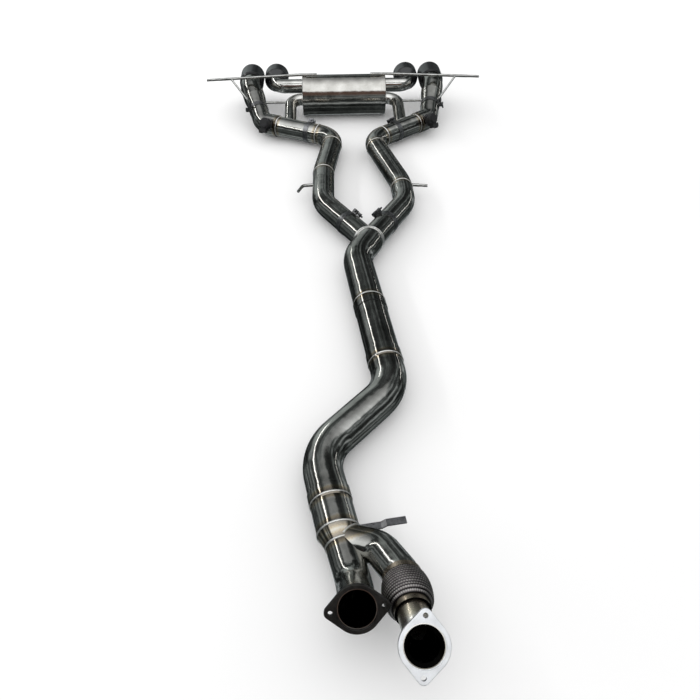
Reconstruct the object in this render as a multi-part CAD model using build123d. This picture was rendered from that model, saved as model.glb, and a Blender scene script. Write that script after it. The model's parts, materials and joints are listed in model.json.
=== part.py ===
from build123d import *
import os
from math import cos, radians, sin

# Twin-inlet racing exhaust system in stainless tube.
# While it is designed, x is 0 at the silencer's middle, y is 0 at the silencer's axis and grows
# towards the tail pipes, and z is 0 at the axis of the main pipe. place() moves the finished
# pieces so that the part stands on z = 0 under the middle of its own box.

# Tube sizes, outside radius and wall
main_r = 44.5
branch_r = 38.0
inlet_r = 35.0
side_elbow_r = 24.0
outlet_elbow_r = 28.5
wall = 1.5

# Main pipe: where its axis turns, seen from above
collector_end = Vector(-78.6, -2119, 0)
low_bend = Vector(-119, -1912, 0)
high_bend = Vector(65, -1712, 0)
trunk_kink = Vector(2, -1145, 0)
y_centre = Vector(45, -1060, 0)
main_bend_r = 133.0

# Slip joints on the main pipe, given by the y of the cup's root and mouth
cup_wall = 1.8
cup_fit = 0.1
front_cup = (-2048, -2021)
middle_cup = (-1624, -1590)
rear_cup = (-1377, -1412)

# Inlets
plain_knee = Vector(-51, -2235, 0)
plain_rise = 127.0
plain_pitch = 42.0
plain_roll = 6.0
flex_face = Vector(53, -2414, 120)
flex_pitch = 55.0
flex_roll = -5.0
flex_knee = 26.0
flex_rear = Vector(36, -2245, 42)
flex_length = 94.0
collector_bend = Vector(1, -2164, 12)
collector_cone = 30.0
side_merge = 16.0

# Two-bolt flange
flange_t = 9.0
flange_body_r = 43.0
flange_ear_r = 11.0
bolt_spacing = 94.5
bolt_hole_r = 4.5
flange_recess_r = 36.0
flange_recess = 4.0

# Flexible joint
braid_r = 46.0
collar_r = 33.0
rear_collar_r = 38.0
stub_r = 28.5
flex_collar = 12.0
bellows_waves = 9

# Y outlets and branch pipes
y_angle = 30.0
y_outlet = 125.0
first_bend = {"left": 284.0, "right": 272.0}
branch_points = {
    "left": [Vector(-93, -590, 0), Vector(-48, -312, 0)],
    "right": [Vector(180, -690, 0), Vector(98, -345, 0)],
}
branch_bends = [150, 300, 95]

# Rear corner, where each branch turns back to its outer tail pipe
corner = {"left": Vector(-336, -168, 0), "right": Vector(345, -150, 0)}
leg_length = {"left": 210.0, "right": 188.0}
valve_ring = 76.0
valve_centre = 48.0
corner_bend_r = 50.0
outlet_joint = 82.0
side_sign = {"left": -1, "right": 1}

# Silencer
silencer_r = 81.0
silencer_half = 174.0
rim_r = 83.0
cap_depth = 18.0
silencer_y = 22.0
silencer_z = rim_r - (main_r + cup_fit + cup_wall)
inlet_port = (-46.0, 0.0)
outlet_port = (38.0, 24.0)
baffle_x = 62.0
baffle_t = 1.5

# Tail pipes
outer_tip_x = {"left": -394.0, "right": 382.0}
inner_tip_x = {"left": -288.0, "right": 275.0}
tip_z = silencer_z + outlet_port[1]
tail_knee_y = 50.0
outer_tip_start = 86.0
inner_tip_start = 104.0
tip_end = 190.0
tip_lining = 58.0
tip_r = 50.8
tip_wall = 2.0
tip_bore_r = 44.0

# Hanger rods
rod_r = 5.5
brace_r = 4.0
tie_rod_r = 5.0
rod_reach = 570.0
rod_lap = 66.0
rod_root = Vector(178, 16, silencer_z + 88.5)
rod_end = Vector(rod_reach, 14, silencer_z + 72)
rod_grip = 50.0
hanger_grip = 30.0
grip_r = 5.0
brace_foot_y = -60.0
brace_joint_x = 470.0

# Butterfly valve and its motor, measured along the shaft from the pipe's axis
valve_bore_r = 36.0
valve_wall_r = 41.5
valve_wall_half = 23.0
shaft_lift = 28.0
shaft_r = 4.0
shaft_gap = 0.05
bush_r = 6.5
boss_r = 10.0
pad_face = 46.0
shaft_back = -42.0
flap_r = 35.6
flap_t = 2.4
plate_gap = 8.0
plate_t = 2.5
plate_half = 22.0
bolt_offset = 17.5
motor_r = 20.5
motor_depth = 26.0

nodes = {}


def unit(v):
    return v.normalized()


def pitch(angle):
    """Unit vector that points forwards and up at the angle."""
    return Vector(0, -cos(radians(angle)), sin(radians(angle)))


def route(points, radii=None):
    if radii is None:
        return Polyline(*points)
    return FilletPolyline(*points, radius=radii)


def solid_run(points, r, radii=None):
    """Solid rod along a route of straight runs and arcs."""
    path = route(points, radii)
    start = Plane(origin=path @ 0, z_dir=path % 0)
    return sweep(start * Circle(r), path=path)


def tube(points, r, radii=None, thickness=wall):
    path = route(points, radii)
    start = Plane(origin=path @ 0, z_dir=path % 0)
    return sweep(start * (Circle(r) - Circle(r - thickness)), path=path)


def along(origin, direction, shape):
    """Places a shape made about the z axis so that z runs along the direction."""
    return Plane(origin=origin, z_dir=unit(direction)) * shape


def turned(profile):
    """Solid of revolution about z from (radius, height) points."""
    face = make_face(Polyline(*[(r, 0, z) for r, z in profile], close=True))
    return revolve(face, Axis.Z)


def cylinder_between(a, b, r):
    return along(a, b - a, Cylinder(r, (b - a).length, align=(Align.CENTER, Align.CENTER, Align.MIN)))


def rod_between(low, high, r):
    """Cylinder about z from one height to another."""
    return Pos(0, 0, low) * Cylinder(r, high - low, align=(Align.CENTER, Align.CENTER, Align.MIN))


def ring_between(low, high, r_out, r_in):
    return rod_between(low, high, r_out) - rod_between(low, high, r_in)


def on_line(a, b, y):
    """Point of the line from a to b at a given y."""
    return a + (b - a) * ((y - a.Y) / (b.Y - a.Y))


def add(name, *shapes):
    nodes[name] = list(shapes)


# ---- inlets, flexible joint and collector ----

def inlet_flange(centre, normal, ear_dir, pipe_r):
    """Two-bolt plate whose outer face stands at the centre point; the tube enters from behind."""
    half = bolt_spacing / 2
    face = make_hull(
        (
            Circle(flange_body_r)
            + Pos(half, 0) * Circle(flange_ear_r)
            + Pos(-half, 0) * Circle(flange_ear_r)
        ).edges()
    )
    plate = extrude(face, -flange_t)
    plate = fillet(plate.edges().group_by(Axis.Z)[-1], 0.8)
    plate -= rod_between(-flange_recess, 0, flange_recess_r)
    plate -= rod_between(-flange_t, -flange_recess, pipe_r)
    for x in (half, -half):
        plate -= Pos(x, 0) * rod_between(-flange_t, 0, bolt_hole_r)
    return Plane(origin=centre, x_dir=ear_dir, z_dir=normal) * plate


def main_line(y):
    """Point on the front stretch of the main pipe's axis."""
    return on_line(collector_end, low_bend, y)


def leaned(direction, normal, angle):
    """Direction in a flange's face, turned in that face by an angle."""
    turn = radians(angle)
    return direction * cos(turn) + normal.cross(direction) * sin(turn)


def plain_face():
    return plain_knee + pitch(plain_pitch) * plain_rise


def cone_dir():
    return unit(collector_end - plain_knee)


def collector_entry():
    """Where the straight inlet tube enters the collector's cone."""
    return collector_end - cone_dir() * collector_cone


def plain_inlet():
    normal = pitch(plain_pitch)
    face = plain_face()
    ears = leaned(Vector(1, 0, 0), normal, plain_roll)
    add("plain_inlet_flange", inlet_flange(face, normal, ears, inlet_r))
    points = [face - normal * flange_recess, plain_knee, collector_entry()]
    add("plain_inlet_tube", tube(points, inlet_r, [80]))


def flex_axis():
    """Knee of the stub pipe and the unit vector from it to the flexible joint's rear end."""
    knee = flex_face - pitch(flex_pitch) * flex_knee
    return knee, unit(flex_rear - knee)


def flex_front():
    return flex_rear - flex_axis()[1] * flex_length


def flex_inlet():
    normal = pitch(flex_pitch)
    knee, axis = flex_axis()
    ear = leaned(normal.cross(Vector(1, 0, 0)), normal, flex_roll)
    add("flex_inlet_flange", inlet_flange(flex_face, normal, ear, inlet_r))
    start = flex_face - normal * flange_recess
    bell_length = 9.0
    bell = along(start, normal * -1, turned(bell_profile(bell_length)))
    points = [start - normal * bell_length, knee, flex_front() + axis * (flex_collar + 4)]
    add("flex_stub_pipe", bell + tube(points, stub_r, [33]))


def bell_profile(length):
    """Flare that takes the stub from its own radius out to the flange's bore."""
    big = inlet_r - 0.05
    return [(big - wall, 0), (big, 0), (big, 5), (stub_r, length), (stub_r - wall, length), (big - wall, 4)]


def flex_joint():
    """Bellows under a woven braid, with a liner inside and a collar over each end."""
    axis = flex_axis()[1]
    front = flex_front()
    length = flex_length
    collar = ring_between(0, flex_collar, collar_r, stub_r + 0.1)
    rear_collar = ring_between(length - flex_collar, length, rear_collar_r, inlet_r + 0.1)
    add("flex_front_collar", along(front, axis, collar))
    add("flex_rear_collar", along(front, axis, rear_collar))
    braid = barrel(flex_collar + 0.3, length - flex_collar - 0.3)
    add("flex_braid", along(front, axis, braid))
    add("flex_bellows", along(front, axis, bellows(flex_collar + 8, length - flex_collar - 4)))
    liner = ring_between(flex_collar + 5, length - 6, stub_r - 2.2, stub_r - 3.4)
    add("flex_liner", along(front, axis, liner))


def barrel(low, high):
    """Barrel-shaped braid sleeve that draws in to the collar at each end."""
    shoulder = (high - low) * 0.17
    middle = (low + high) / 2
    skin = 2.2

    def outline(offset):
        radii = [collar_r + 0.5, braid_r - 3, braid_r, braid_r - 3, rear_collar_r + 0.5]
        heights = [low, low + shoulder, middle, high - shoulder, high]
        return [Vector(r - offset, 0, z) for r, z in zip(radii, heights)]

    lines = []
    for edge in (outline(0), outline(skin)):
        lines += [Line(edge[0], edge[1]), ThreePointArc(edge[1], edge[2], edge[3]), Line(edge[3], edge[4])]
    lines += [Line(outline(0)[i], outline(skin)[i]) for i in (0, -1)]
    return revolve(make_face(Curve() + lines), Axis.Z)


def bellows(low, high):
    """Thin corrugated tube."""
    pitch_z = (high - low) / bellows_waves
    crest, root, skin = 38.0, 31.5, 0.8
    outer = []
    inner = []
    for i in range(bellows_waves):
        z = low + i * pitch_z
        rise = z + pitch_z * 0.3
        fall = z + pitch_z * 0.7
        outer += [(root, z), (crest, rise), (crest, fall)]
        inner += [(root - skin, z), (crest - skin, rise + 0.3), (crest - skin, fall - 0.3)]
    outer.append((root, high))
    inner.append((root - skin, high))
    return turned(outer + inner[::-1])


def side_knee():
    """Slight bend of the tube behind the flexible joint."""
    return flex_rear + flex_axis()[1] * 8


def side_inlet():
    """Start of the collector's side inlet, just before its bend."""
    knee = side_knee()
    return knee + unit(collector_bend - knee) * 28


def collector():
    """Two tubes merged into the main pipe: a cone for the straight one, a bend for the other."""
    main_dir = unit(low_bend - collector_end)
    merge = collector_end - main_dir * side_merge

    def body(shrink):
        standing = (Align.CENTER, Align.CENTER, Align.MIN)
        cone = Cone(inlet_r - shrink, main_r - shrink, collector_cone, align=standing)
        cone += rod_between(collector_cone, collector_cone + 8, main_r - shrink)
        side = solid_run([side_inlet(), collector_bend, merge], inlet_r - shrink, [52])
        return along(collector_entry(), cone_dir(), cone), side

    cone, side = body(0)
    hollow_cone, hollow_side = body(wall)
    shell = (cone + side) - (hollow_cone + hollow_side)
    shell -= along(collector_end, main_dir, rod_between(0, 120, 160))
    shell -= along(collector_entry(), cone_dir(), rod_between(-90, 0, inlet_r + 0.05))
    add("merge_collector", shell.solids().sort_by(SortBy.VOLUME)[-1])
    start = flex_rear - flex_axis()[1] * (flex_collar - 1)
    add("flex_inlet_tube", tube([start, side_knee(), side_inlet()], inlet_r, [60]))


def collector_strap():
    """Flat steel strap, welded to the collector and stepped once along its length."""
    thick, wide = 3.0, 16.0
    under = [(-40, 0), (14, 0), (24, 6), (64, 6)]
    over = [(64, 6 + thick), (23, 6 + thick), (13, thick), (-40, thick)]
    profile = under + over
    face = make_face(Polyline(*[(x, 0, z) for x, z in profile], close=True))
    strap = extrude(face, wide / 2, both=True)
    strap = Pos(-5, -2118, 16) * Rot(0, 0, 8) * strap
    strap -= nodes["merge_collector"][0]
    strap -= cylinder_between(collector_end, main_line(collector_end.Y + 80), main_r + 0.2)
    add("collector_strap", strap.solids().sort_by(Axis.X)[-1])


# ---- main pipe and Y piece ----

def cup(root, mouth, r):
    """Enlarged end of a tube that the next tube slides into."""
    length = (mouth - root).length
    inner = r + cup_fit
    outer = inner + cup_wall
    outside = [(r - wall, -6), (r, -6), (outer, 0), (outer, length)]
    bore = [(inner, length), (inner, 2), (r - wall, 2)]
    return along(root, mouth - root, turned(outside + bore))


def main_pipe():
    first_root = on_line(collector_end, low_bend, front_cup[0])
    first_mouth = on_line(collector_end, low_bend, front_cup[1])
    second_root = on_line(high_bend, trunk_kink, middle_cup[0])
    second_mouth = on_line(high_bend, trunk_kink, middle_cup[1])
    third_root = on_line(high_bend, trunk_kink, rear_cup[0])
    front_dir = unit(first_mouth - first_root)
    rear_dir = unit(second_mouth - second_root)
    front = tube([collector_end, first_root - front_dir * 6], main_r)
    add("front_main_pipe", front + cup(first_root, first_mouth, main_r))
    s_bend = tube(
        [first_root + front_dir * 2.5, low_bend, high_bend, second_root - rear_dir * 6],
        main_r,
        [main_bend_r, main_bend_r],
    )
    add("s_bend_pipe", s_bend + cup(second_root, second_mouth, main_r))
    add("rear_main_pipe", tube([second_root + rear_dir * 2.5, third_root - rear_dir * 2.5], main_r))


def y_outlet_dir(side):
    lean = radians(y_angle) * side_sign[side]
    return Vector(sin(lean), cos(lean), 0)


def y_outlet_end(side):
    return y_centre + y_outlet_dir(side) * y_outlet


def y_piece():
    root = on_line(high_bend, trunk_kink, rear_cup[0])
    mouth = on_line(high_bend, trunk_kink, rear_cup[1])
    start = root + unit(root - mouth) * 6

    def body(shrink):
        shape = solid_run([start, trunk_kink, y_centre], main_r - shrink, [150])
        shape += Pos(*y_centre) * Sphere(main_r - shrink)
        for side in side_sign:
            shape += cylinder_between(y_centre, y_outlet_end(side), branch_r - shrink)
        return shape

    add("y_splitter", body(0) - body(wall) + cup(root, mouth, main_r))


# ---- branch pipes and band clamps ----

def leg_dir(side):
    """From the bend of the branch out to the rear corner."""
    return unit(corner[side] - branch_points[side][-1])


def leg_point(side, distance):
    """Point on the leg's axis at a distance before the corner."""
    return corner[side] - leg_dir(side) * distance


def branch_pipe(side):
    first = y_centre + y_outlet_dir(side) * first_bend[side]
    points = [y_outlet_end(side), first, *branch_points[side], leg_point(side, leg_length[side])]
    add(f"{side}_branch_pipe", tube(points, branch_r, branch_bends))


def band_clamp(centre, axis, r, bolt_dir):
    """Open band with a folded lug at each side of its gap; returns the band and its bolt pieces."""
    width, skin, gap = 20.0, 1.4, 16.0
    lug_h, lug_t = 15.0, 5.0
    band = ring_between(-width / 2, width / 2, r + 0.2 + skin, r + 0.2)
    lugs = Pos(r + 0.2 + lug_h / 2, 0, 0) * Box(lug_h, gap + 2 * lug_t, width)
    band += lugs - rod_between(-width, width, r + 0.2)
    band -= Pos(r + lug_h, 0, 0) * Box(2 * lug_h + 8, gap, width + 2)
    bolt_x = r + lug_h - 6
    cross = Pos(bolt_x, 0, 0) * Rot(90, 0, 0)
    band -= cross * rod_between(-40, 40, 3.2)
    outer = gap / 2 + lug_t
    bolt = cross * (rod_between(-outer - 16, outer, 3.0) + Pos(0, 0, outer) * rod_between(0, 5, 5.5))
    nut = cross * (rod_between(-outer - 6, -outer, 5.5) - rod_between(-outer - 6, -outer, 3.05))
    frame = Plane(origin=centre, x_dir=bolt_dir, z_dir=axis)
    return frame * band, frame * bolt, frame * nut


def clamps():
    """Three band clamps a side: at the Y, on the leg and at the outer tail pipe."""
    bolts = []
    bands = {"y_clamp_bands": [], "leg_clamp_bands": [], "outlet_clamp_bands": []}
    for side, sign in side_sign.items():
        places = {
            "y_clamp_bands": (y_outlet_end(side), y_outlet_dir(side), branch_r, Vector(-sign, 0, 0.7)),
            "leg_clamp_bands": (leg_point(side, leg_length[side]), leg_dir(side), branch_r, Vector(0, 1, 1)),
            "outlet_clamp_bands": (outlet_point(side), outlet_dir(side), branch_r, Vector(sign, 0, 0.5)),
        }
        for name, (centre, axis, r, towards) in places.items():
            up = unit(towards - axis * towards.dot(axis))
            band, bolt, nut = band_clamp(centre, axis, r, up)
            bands[name].append(band)
            bolts += [bolt, nut]
    for name, pieces in bands.items():
        add(name, *pieces)
    add("clamp_bolts", *bolts)


def hanger_route(side):
    """Rod hanger on the side of a branch pipe; the left one is cranked forwards at its end."""
    if side == "left":
        start = Vector(-95 - branch_r - 0.5, -690, 0)
        return [start, start + Vector(-34, -4, 0), start + Vector(-50, -44, 0)]
    start = Vector(179 + branch_r + 2, -702, 0)
    return [start, start + Vector(54, -8, 0)]


def turned_end(points, length):
    """Ring to cut away where a rod's last stretch is turned down to take a rubber hanger."""
    end = points[-1]
    back = unit(points[-2] - end)
    return along(end, back, ring_between(-1, length, rod_r + 1, grip_r))


def branch_hangers():
    for side, bends in (("left", [14]), ("right", None)):
        points = hanger_route(side)
        rod = solid_run(points, rod_r, bends) - turned_end(points, hanger_grip)
        add(f"{side}_branch_hanger", rod)


# ---- rear corner: leg, side elbow, valve and outer tail pipe ----

def outlet_dir(side):
    return unit(Vector(outer_tip_x[side], tail_knee_y, tip_z) - corner[side])


def outlet_point(side):
    return corner[side] + outlet_dir(side) * outlet_joint


def side_elbow_route(side):
    sign = side_sign[side]
    x = 224.0 * sign
    start = on_leg(side, x)
    z = silencer_z + inlet_port[1]
    y = silencer_y + inlet_port[0]
    return [start, Vector(x, y, z), Vector(sign * (silencer_half - 1.5), y, z)]


def on_leg(side, x):
    a, b = branch_points[side][-1], corner[side]
    return a + (b - a) * ((x - a.X) / (b.X - a.X))


def rear_leg(side):
    start = leg_point(side, leg_length[side])
    end = leg_point(side, valve_ring)
    path = side_elbow_route(side)
    leg = tube([start, end], branch_r)
    hole = solid_run(path, side_elbow_r - wall, [46])
    add(f"{side}_leg_pipe", (leg - hole).solids().sort_by(SortBy.VOLUME)[-1])
    elbow = tube(path, side_elbow_r, [46])
    elbow -= cylinder_between(start - leg_dir(side) * 20, end, branch_r + 0.02)
    add(f"{side}_side_elbow", elbow.solids().sort_by(SortBy.VOLUME)[-1])


def valve_frame(side):
    """x along the leg, z along the valve's shaft towards its motor in front."""
    u = leg_dir(side)
    front = Vector(u.Y, -u.X, 0) * side_sign[side]
    lift = radians(shaft_lift)
    shaft_dir = front * cos(lift) + Vector(0, 0, sin(lift))
    return Plane(origin=leg_point(side, valve_centre), x_dir=u, z_dir=shaft_dir)


def valve(side):
    frame = valve_frame(side)
    path = [leg_point(side, valve_ring), corner[side], outlet_point(side)]
    body = solid_run(path, branch_r, [corner_bend_r])
    body += frame * Rot(0, 90, 0) * rod_between(-valve_wall_half, valve_wall_half, valve_wall_r)
    body += frame * (rod_between(shaft_back - 4, pad_face, boss_r))
    pad = Pos(0, 0, pad_face - 3) * Box(2 * plate_half, 2 * plate_half, 6)
    pad += Pos(0, 0, pad_face - 12) * Box(24, 2 * plate_half, 24)
    body += frame * pad
    body -= solid_run(path, valve_bore_r, [corner_bend_r])
    body -= frame * rod_between(shaft_back, pad_face + 1, bush_r)
    for x, y in bolt_places():
        body -= frame * Pos(x, y, 0) * rod_between(pad_face - 10, pad_face + 1, 2.5)
    add(f"{side}_valve_body", body)
    add(f"{side}_valve_shaft", frame * valve_shaft())
    add(f"{side}_valve_flap", frame * valve_flap())
    add(f"{side}_flap_screws", *[frame * s for s in flap_screws()])
    add(f"{side}_motor_plate", frame * motor_plate())
    add(f"{side}_valve_motor", frame * valve_motor(side))


def bolt_places():
    return [(x * bolt_offset, y * bolt_offset) for x in (-1, 1) for y in (-1, 1)]


def valve_bushes():
    inner = shaft_r + shaft_gap
    front = ring_between(valve_bore_r + 1.5, pad_face, bush_r, inner)
    back = ring_between(shaft_back, -valve_bore_r - 1.5, bush_r, inner)
    return [front, back]


def valve_shaft():
    """Round shaft with a flat for the flap and a drive disc at its front end."""
    end = pad_face + 5
    shaft = rod_between(shaft_back + 0.5, end, shaft_r) + rod_between(end - 3.5, end, 9)
    shaft -= Pos(5, 0, 0) * Box(10, 20, 2 * flap_r + 1)
    for z in (-16, 16):
        shaft -= Pos(0, 0, z) * Rot(0, 90, 0) * rod_between(-10, 10, 1.8)
    return shaft


def valve_flap():
    disc = Rot(0, 90, 0) * rod_between(0.02, flap_t, flap_r)
    for z in (-16, 16):
        disc -= Pos(0, 0, z) * Rot(0, 90, 0) * rod_between(-1, 10, 1.8)
    return disc


def flap_screws():
    screw = rod_between(-3.4, flap_t, 1.75) + rod_between(flap_t + 0.02, flap_t + 2, 3.4)
    screw += rod_between(flap_t - 0.1, flap_t + 0.1, 1.75)
    return [Pos(0, 0, z) * Rot(0, 90, 0) * screw for z in (-16, 16)]


def motor_plate():
    """Plate on four posts that holds the motor clear of the hot valve body."""
    z = pad_face + plate_gap
    plate = Pos(0, 0, z + plate_t / 2) * Box(2 * plate_half, 2 * plate_half, plate_t)
    plate = fillet(plate.edges().filter_by(Axis.Z), 5)
    for x, y in bolt_places():
        plate += Pos(x, y, 0) * rod_between(pad_face, z, 4)
    plate -= rod_between(z - 1, z + plate_t + 1, 10)
    for x, y in bolt_places():
        plate -= Pos(x, y, 0) * rod_between(pad_face - 1, z + plate_t + 1, 2.6)
    return plate


def valve_motor(side):
    """Moulded motor case: a round gear cover, a block for the motor and a plug socket."""
    z = pad_face + plate_gap + plate_t
    case = rod_between(z, z + motor_depth, motor_r)
    drop = -side_sign[side]
    block = Pos(6, 20 * drop, z + 11) * Box(30, 32, 20)
    case += fillet(block.edges().filter_by(Axis.Z), 5)
    case = fillet(case.edges().group_by(Axis.Z)[-1], 2.5)
    case += rod_between(z + motor_depth, z + motor_depth + 3, motor_r - 5)
    case += Pos(16, 34 * drop, z + 9) * Box(12, 12, 12)
    for x, y in bolt_places():
        case -= Pos(x, y, 0) * rod_between(z - 1, z + motor_depth + 5, 5.2)
    case -= rod_between(z - 1, z + 2, 10)
    return case


def shared_valve_pieces():
    """Bushes of both valves, and the bolts that hold both motors."""
    add("valve_bushes", *[valve_frame(side) * bush for side in side_sign for bush in valve_bushes()])
    bolts = []
    z = pad_face + plate_gap + plate_t
    for side in side_sign:
        frame = valve_frame(side)
        for x, y in bolt_places():
            bolt = rod_between(pad_face - 9, z, 2.45) + rod_between(z, z + 4, 4.4)
            bolts.append(frame * Pos(x, y, 0) * bolt)
    add("motor_bolts", *bolts)


def tail_pipe(side):
    """Outer tail pipe: grows from the branch size to the main size, then runs back to the tip."""
    x = outer_tip_x[side]
    start = outlet_point(side)
    run = outlet_dir(side)
    socket, grow = 12.0, 60.0
    knee = Vector(x, tail_knee_y, tip_z)
    end = Vector(x, outer_tip_start + 40, tip_z)
    flare = turned([
        (branch_r - wall, 0.1), (branch_r, 0.1), (branch_r, socket), (main_r, socket + grow),
        (main_r - wall, socket + grow), (branch_r - wall, socket),
    ])
    pipe = along(start, run, flare) + tube([start + run * (socket + grow), knee, end], main_r, [110])
    add(f"{side}_tail_pipe", pipe)


def tie_rods():
    rods = []
    for side, sign in side_sign.items():
        y, z = -45.0, 34.0
        rod = cylinder_between(Vector(sign * 226, y, z), Vector(sign * 340, y, z), tie_rod_r)
        rod -= nodes[f"{side}_tail_pipe"][0]
        rod -= nodes[f"{side}_side_elbow"][0]
        rods.append(rod.solids().sort_by(SortBy.VOLUME)[-1])
    add("tie_rods", *rods)


# ---- silencer ----

def at_silencer(x, port=(0.0, 0.0)):
    return Vector(x, silencer_y + port[0], silencer_z + port[1])


def across(a, b, r, port=(0.0, 0.0)):
    """Cylinder along x between two stations of the silencer."""
    return cylinder_between(at_silencer(a, port), at_silencer(b, port), r)


def silencer():
    half = silencer_half
    skin = 1.2
    shell = across(-half + 5, half - 5, silencer_r) - across(-half, half, silencer_r - skin)
    add("silencer_shell", shell)
    for side, sign in side_sign.items():
        add(f"{side}_silencer_cap", end_cap(sign))
    add("silencer_baffles", *[baffle(sign) for sign in side_sign.values()])
    add("silencer_core_tubes", *core_tubes())
    add("silencer_packing", *[packing(sign) for sign in side_sign.values()])


def end_cap(sign):
    """Pressed cap: a rolled rim over the shell and a shallow dished face with two ports."""
    half = silencer_half
    skin = 1.5
    rim_in = silencer_r + 0.1
    profile = [
        (0, -skin), (silencer_r - 14, -skin), (silencer_r - 8, -skin - 3), (silencer_r - 1.3, -skin - 3),
        (silencer_r - 1.3, -4.9), (rim_in, -4.9), (rim_in, -cap_depth), (rim_r, -cap_depth),
        (rim_r, -1.5), (rim_r - 2, 0), (0, 0),
    ]
    cap = along(at_silencer(sign * half), Vector(sign, 0, 0), turned(profile))
    cap -= across(sign * (half - 20), sign * (half + 5), side_elbow_r + 0.1, inlet_port)
    cap -= across(sign * (half - 20), sign * (half + 5), outlet_elbow_r + 0.1, outlet_port)
    return cap


def baffle(sign):
    plate = across(sign * (baffle_x - baffle_t), sign * baffle_x, silencer_r - 1.4)
    for r, port in ((side_elbow_r, inlet_port), (outlet_elbow_r, outlet_port)):
        plate -= across(sign * (baffle_x - 5), sign * (baffle_x + 5), r + 0.1, port)
    return plate


def core_tubes():
    """Perforated tubes from the caps into the middle chamber."""
    tubes = []
    for sign in side_sign.values():
        for r, port, reach in ((side_elbow_r, inlet_port, 40), (outlet_elbow_r, outlet_port, 24)):
            outer_x = sign * (silencer_half - 2)
            core = across(outer_x, sign * reach, r, port) - across(outer_x, sign * reach, r - wall, port)
            for row in range(4):
                centre = at_silencer(sign * (84 + 20 * row), port)
                for turn in (0, 60, 120):
                    drill = Rot(turn + 30 * (row % 2), 0, 0) * Cylinder(3, 2 * r + 4)
                    core -= Pos(*centre) * drill
            tubes.append(core)
    return tubes


def packing(sign):
    """Sound-absorbing wool that fills each end chamber around the core tubes."""
    low, high = sign * (baffle_x + 0.5), sign * (silencer_half - 8)
    wool = across(low, high, silencer_r - 2)
    for r, port in ((side_elbow_r, inlet_port), (outlet_elbow_r, outlet_port)):
        wool -= across(sign * baffle_x, sign * silencer_half, r + 0.5, port)
    return wool


def outlet_elbow(side):
    sign = side_sign[side]
    y, z = silencer_y + outlet_port[0], tip_z
    x = inner_tip_x[side]
    points = [Vector(sign * (silencer_half - 1.5), y, z), Vector(x, y, z), Vector(x, inner_tip_start + 15, z)]
    add(f"{side}_outlet_elbow", tube(points, outlet_elbow_r, [42]))


# ---- tips ----

def tip(x, start, pipe_r, shoulder):
    """Double-walled tip with a rolled mouth; its neck fits over the pipe."""
    neck = pipe_r + 0.15
    neck_out = neck + tip_wall
    end = tip_end - start
    lining = end - tip_lining
    inside = tip_r - tip_wall
    profile = [
        (neck, 0), (neck_out, 0), (tip_r - 1.5, shoulder), (tip_r, shoulder + 4), (tip_r, end - 3),
        (tip_r - 1.2, end), (tip_bore_r + 1.2, end), (tip_bore_r, end - 3), (tip_bore_r, lining),
        (tip_bore_r + 1.5, lining), (tip_bore_r + 1.5, end - 8), (inside, end - 8),
        (inside, shoulder + 6), (neck, 12),
    ]
    return along(Vector(x, start, tip_z), Vector(0, 1, 0), turned(profile))


def tips():
    for side in side_sign:
        add(f"{side}_outer_tip", tip(outer_tip_x[side], outer_tip_start, main_r, 8))
        add(f"{side}_inner_tip", tip(inner_tip_x[side], inner_tip_start, outlet_elbow_r, 22))


# ---- hanger rods ----

def mirrored(v, sign):
    return Vector(v.X * sign, v.Y, v.Z)


def hanger_rods():
    """Rods laid over the silencer and out to the body's rubbers, each braced from its tail pipe."""
    braces = []
    for side, sign in side_sign.items():
        root = mirrored(rod_root, sign)
        inner = root - Vector(rod_lap * sign, 0, 0)
        points = [inner, root, mirrored(rod_end, sign)]
        rod = solid_run(points, rod_r, [40]) - turned_end(points, rod_grip)
        add(f"{side}_hanger_rod", rod)
        knee = Vector(outer_tip_x[side], tail_knee_y, tip_z)
        foot = on_line(corner[side], knee, brace_foot_y) + Vector(sign * 34, 0, 18)
        brace = cylinder_between(foot, on_rod(sign, brace_joint_x), brace_r)
        brace -= rod
        brace -= nodes[f"{side}_tail_pipe"][0]
        braces.append(brace.solids().sort_by(SortBy.VOLUME)[-1])
    add("brace_rods", *braces)


def on_rod(sign, x):
    share = (x - rod_root.X) / (rod_end.X - rod_root.X)
    return mirrored(rod_root + (rod_end - rod_root) * share, sign)


def build():
    plain_inlet()
    flex_inlet()
    flex_joint()
    collector()
    collector_strap()
    main_pipe()
    y_piece()
    for side in side_sign:
        branch_pipe(side)
        rear_leg(side)
        valve(side)
        tail_pipe(side)
        outlet_elbow(side)
    clamps()
    shared_valve_pieces()
    branch_hangers()
    tie_rods()
    silencer()
    tips()
    hanger_rods()


def place():
    """Moves every piece so that the part stands on z = 0 with the middle of its box over the origin."""
    box = Compound([s for shapes in nodes.values() for s in shapes]).bounding_box()
    return Vector(-(box.min.X + box.max.X) / 2, -(box.min.Y + box.max.Y) / 2, -box.min.Z)


build()
shift = place()
os.makedirs("parts", exist_ok=True)
for name, shapes in nodes.items():
    solids = [solid.moved(Location(shift)) for shape in shapes for solid in shape.solids()]
    piece = solids[0] if len(solids) == 1 else Compound(children=solids)
    export_step(piece, f"parts/{name}.step")
print(len(nodes), "nodes, shift", shift)
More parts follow.
